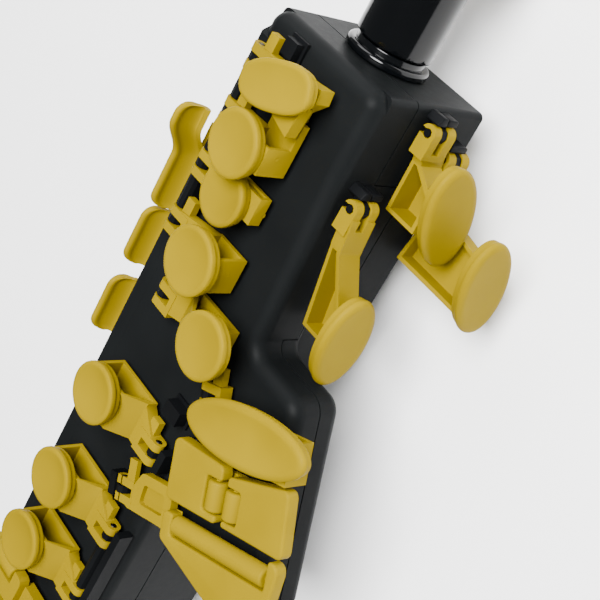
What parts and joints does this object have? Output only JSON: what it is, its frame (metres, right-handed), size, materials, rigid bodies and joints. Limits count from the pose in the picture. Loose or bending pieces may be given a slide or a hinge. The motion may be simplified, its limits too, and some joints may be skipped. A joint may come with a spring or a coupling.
{
  "type": "digital wind controller",
  "caption": "Handheld electronic wind instrument: black box body with saxophone-style yellow keys, side wing for the little-finger table and a reed mouthpiece.",
  "frame": {"origin": "middle of the flat rear face of the case, half way along its length", "axes": "+X to the right as seen from the key side, +Y along the case towards the mouthpiece, +Z out of the key face"},
  "size_m": [0.1231, 0.3495, 0.0825],
  "materials": {
    "key_plastic": "moulded, satin gloss",
    "case_plastic": "fine-grained satin",
    "gloss_black": "polished",
    "steel": "plated",
    "cork": "pressed cork",
    "cane": "bare cane",
    "board": "solder resist",
    "battery_wrap": "shrink wrap",
    "silicone": "translucent tube"
  },
  "bodies": {
    "case": {"front_shell": "case_plastic", "rear_shell": "case_plastic", "neck_collar": "gloss_black", "neck_tenon": "gloss_black", "tenon_cork": "cork", "main_board": "board", "battery_pack": "battery_wrap", "breath_sensor": "case_plastic", "breath_tube": "silicone", "usb_socket": "steel", "headphone_jack": "case_plastic", "thumb_rest": "case_plastic", "thumb_hook": "case_plastic", "strap_ring": "steel", "body_screw_1": "steel", "body_screw_2": "steel", "body_screw_3": "steel", "body_screw_4": "steel", "lh_rod": "steel", "g_pin": "steel", "f_pin": "steel", "rh_rod": "steel", "side_rod": "steel", "g_sharp_pin": "steel", "table_rod": "steel", "low_b_flat_pin": "steel", "octave_pin": "steel"},
    "front_f_key_body": {"front_f_key": "key_plastic"},
    "b_key_body": {"b_key": "key_plastic"},
    "bis_key_body": {"bis_key": "key_plastic"},
    "a_key_body": {"a_key": "key_plastic"},
    "g_key_body": {"g_key": "key_plastic"},
    "g_sharp_key_body": {"g_sharp_key": "key_plastic"},
    "low_c_sharp_key_body": {"low_c_sharp_key": "key_plastic"},
    "low_b_key_body": {"low_b_key": "key_plastic"},
    "low_b_flat_key_body": {"low_b_flat_key": "key_plastic"},
    "f_key_body": {"f_key": "key_plastic"},
    "e_key_body": {"e_key": "key_plastic"},
    "d_key_body": {"d_key": "key_plastic"},
    "low_e_flat_key_body": {"low_e_flat_key": "key_plastic"},
    "low_c_key_body": {"low_c_key": "key_plastic"},
    "palm_key_1_body": {"palm_key_1": "key_plastic"},
    "palm_key_2_body": {"palm_key_2": "key_plastic"},
    "palm_key_3_body": {"palm_key_3": "key_plastic"},
    "side_key_1_body": {"side_key_1": "key_plastic"},
    "side_key_2_body": {"side_key_2": "key_plastic"},
    "side_key_3_body": {"side_key_3": "key_plastic"},
    "octave_key_body": {"octave_key": "key_plastic"},
    "table_roller_1_body": {"table_roller_1": "key_plastic"},
    "table_roller_2_body": {"table_roller_2": "key_plastic"},
    "table_roller_3_body": {"table_roller_3": "key_plastic"},
    "pinky_roller_1_body": {"pinky_roller_1": "key_plastic"},
    "pinky_roller_2_body": {"pinky_roller_2": "key_plastic"},
    "mouthpiece_body": {"mouthpiece": "gloss_black", "reed": "cane", "ligature": "steel"},
    "ligature_screw_1_body": {"ligature_screw_1": "steel"},
    "ligature_screw_2_body": {"ligature_screw_2": "steel"},
    "power_button_body": {"power_button": "case_plastic"}
  },
  "joints": [
    {"name": "front_f_key_hinge", "type": "hinge", "parent": "case", "child": "front_f_key_body", "pos_m": [-0.0185, 0.11285, 0.0518], "axis": [0, 1, 0], "range_deg": [0, 3.5], "stiffness_Nm_per_rad": 0.03, "springref_deg": -17.19},
    {"name": "b_key_hinge", "type": "hinge", "parent": "case", "child": "b_key_body", "pos_m": [-0.0185, 0.0945, 0.0518], "axis": [0, 1, 0], "range_deg": [0, 3.5], "stiffness_Nm_per_rad": 0.03, "springref_deg": -17.19},
    {"name": "bis_key_hinge", "type": "hinge", "parent": "case", "child": "bis_key_body", "pos_m": [-0.0185, 0.076, 0.0518], "axis": [0, 1, 0], "range_deg": [0, 3.5], "stiffness_Nm_per_rad": 0.03, "springref_deg": -17.19},
    {"name": "a_key_hinge", "type": "hinge", "parent": "case", "child": "a_key_body", "pos_m": [-0.0185, 0.0554, 0.0518], "axis": [0, 1, 0], "range_deg": [0, 3.5], "stiffness_Nm_per_rad": 0.03, "springref_deg": -17.19},
    {"name": "g_key_hinge", "type": "hinge", "parent": "case", "child": "g_key_body", "pos_m": [-0.0084, 0.0342, 0.0518], "axis": [0, 1, 0], "range_deg": [0, 3.5], "stiffness_Nm_per_rad": 0.03, "springref_deg": -17.19},
    {"name": "g_sharp_key_hinge", "type": "hinge", "parent": "case", "child": "g_sharp_key_body", "pos_m": [0.02684, 0.02279, 0.0518], "axis": [-0.3987, 0.9171, 0], "range_deg": [0, 2.6], "stiffness_Nm_per_rad": 0.03, "springref_deg": -17.19},
    {"name": "low_c_sharp_key_hinge", "type": "hinge", "parent": "case", "child": "low_c_sharp_key_body", "pos_m": [0.03393, -0.00029, 0.0502], "axis": [-0.3987, 0.9171, 0], "range_deg": [0, 4], "stiffness_Nm_per_rad": 0.03, "springref_deg": -17.19},
    {"name": "low_b_key_hinge", "type": "hinge", "parent": "case", "child": "low_b_key_body", "pos_m": [0.03214, 0.00383, 0.0502], "axis": [-0.3987, 0.9171, 0], "range_deg": [0, 2.5], "stiffness_Nm_per_rad": 0.03, "springref_deg": -17.19},
    {"name": "low_b_flat_key_hinge", "type": "hinge", "parent": "case", "child": "low_b_flat_key_body", "pos_m": [0.01485, -0.02789, 0.0518], "axis": [-0.3987, 0.9171, 0], "range_deg": [0, 2], "stiffness_Nm_per_rad": 0.06, "springref_deg": -17.19},
    {"name": "f_key_hinge", "type": "hinge", "parent": "case", "child": "f_key_body", "pos_m": [0.019, -0.0082, 0.0518], "axis": [0, -1, 0], "range_deg": [0, 3.5], "stiffness_Nm_per_rad": 0.03, "springref_deg": -17.19},
    {"name": "e_key_hinge", "type": "hinge", "parent": "case", "child": "e_key_body", "pos_m": [0.019, -0.0451, 0.0518], "axis": [0, -1, 0], "range_deg": [0, 3.5], "stiffness_Nm_per_rad": 0.03, "springref_deg": -17.19},
    {"name": "d_key_hinge", "type": "hinge", "parent": "case", "child": "d_key_body", "pos_m": [0.019, -0.0738, 0.0518], "axis": [0, -1, 0], "range_deg": [0, 3.5], "stiffness_Nm_per_rad": 0.03, "springref_deg": -17.19},
    {"name": "low_e_flat_key_hinge", "type": "hinge", "parent": "case", "child": "low_e_flat_key_body", "pos_m": [0.019, -0.0955, 0.0518], "axis": [0, -1, 0], "range_deg": [0, 2.6], "stiffness_Nm_per_rad": 0.03, "springref_deg": -17.19},
    {"name": "low_c_key_hinge", "type": "hinge", "parent": "case", "child": "low_c_key_body", "pos_m": [0.019, -0.112, 0.0518], "axis": [0, -1, 0], "range_deg": [0, 2.6], "stiffness_Nm_per_rad": 0.03, "springref_deg": -17.19},
    {"name": "palm_key_1_hinge", "type": "hinge", "parent": "case", "child": "palm_key_1_body", "pos_m": [0.0296, 0.121, 0.0215], "axis": [0, 0, -1], "range_deg": [0, 2.5], "stiffness_Nm_per_rad": 0.03, "springref_deg": -17.19},
    {"name": "palm_key_2_hinge", "type": "hinge", "parent": "case", "child": "palm_key_2_body", "pos_m": [0.0296, 0.1133, 0.0086], "axis": [0, 0, -1], "range_deg": [0, 2.4], "stiffness_Nm_per_rad": 0.03, "springref_deg": -17.19},
    {"name": "palm_key_3_hinge", "type": "hinge", "parent": "case", "child": "palm_key_3_body", "pos_m": [0.031, 0.0948, 0.0373], "axis": [0, 0, -1], "range_deg": [0, 2.2], "stiffness_Nm_per_rad": 0.03, "springref_deg": -17.19},
    {"name": "side_key_1_hinge", "type": "hinge", "parent": "case", "child": "side_key_1_body", "pos_m": [-0.0296, 0.0658, 0.0375], "axis": [0, 1, 0], "range_deg": [0, 5], "stiffness_Nm_per_rad": 0.03, "springref_deg": -17.19},
    {"name": "side_key_2_hinge", "type": "hinge", "parent": "case", "child": "side_key_2_body", "pos_m": [-0.0296, 0.0379, 0.0375], "axis": [0, 1, 0], "range_deg": [0, 5], "stiffness_Nm_per_rad": 0.03, "springref_deg": -17.19},
    {"name": "side_key_3_hinge", "type": "hinge", "parent": "case", "child": "side_key_3_body", "pos_m": [-0.0296, 0.01, 0.0375], "axis": [0, 1, 0], "range_deg": [0, 5], "stiffness_Nm_per_rad": 0.03, "springref_deg": -17.19},
    {"name": "octave_key_hinge", "type": "hinge", "parent": "case", "child": "octave_key_body", "pos_m": [0, 0.117, -0.0034], "axis": [-1, 0, 0], "range_deg": [0, 4], "stiffness_Nm_per_rad": 0.03, "springref_deg": -17.19},
    {"name": "table_roller_1_spin", "type": "hinge", "parent": "low_c_sharp_key_body", "child": "table_roller_1_body", "pos_m": [0.05077, 0.00436, 0.0549], "axis": [-0.3987, 0.9171, 0], "continuous": true},
    {"name": "table_roller_2_spin", "type": "hinge", "parent": "low_b_key_body", "child": "table_roller_2_body", "pos_m": [0.05807, 0.00715, 0.0549], "axis": [-0.3987, 0.9171, 0], "continuous": true},
    {"name": "table_roller_3_spin", "type": "hinge", "parent": "low_b_flat_key_body", "child": "table_roller_3_body", "pos_m": [0.06274, -0.00685, 0.0549], "axis": [0.9171, 0.3987, 0], "continuous": true},
    {"name": "pinky_roller_1_spin", "type": "hinge", "parent": "low_e_flat_key_body", "child": "pinky_roller_1_body", "pos_m": [-0.014, -0.0904, 0.0549], "axis": [1, 0, 0], "continuous": true},
    {"name": "pinky_roller_2_spin", "type": "hinge", "parent": "low_c_key_body", "child": "pinky_roller_2_body", "pos_m": [-0.014, -0.1171, 0.0549], "axis": [1, 0, 0], "continuous": true},
    {"name": "mouthpiece_slide", "type": "slide", "parent": "case", "child": "mouthpiece_body", "axis": [0, 1, 0], "range_m": [0, 0.012]},
    {"name": "ligature_screw_1_turn", "type": "hinge", "parent": "mouthpiece_body", "child": "ligature_screw_1_body", "pos_m": [0, 0.1622, 0.00485], "axis": [1, 0, 0], "continuous": true},
    {"name": "ligature_screw_2_turn", "type": "hinge", "parent": "mouthpiece_body", "child": "ligature_screw_2_body", "pos_m": [0, 0.1708, 0.00485], "axis": [1, 0, 0], "continuous": true},
    {"name": "power_button_press", "type": "slide", "parent": "case", "child": "power_button_body", "axis": [0, 1, 0], "range_m": [0, 0.0008], "stiffness_N_per_m": 150, "springref_m": -0.004}
  ]
}
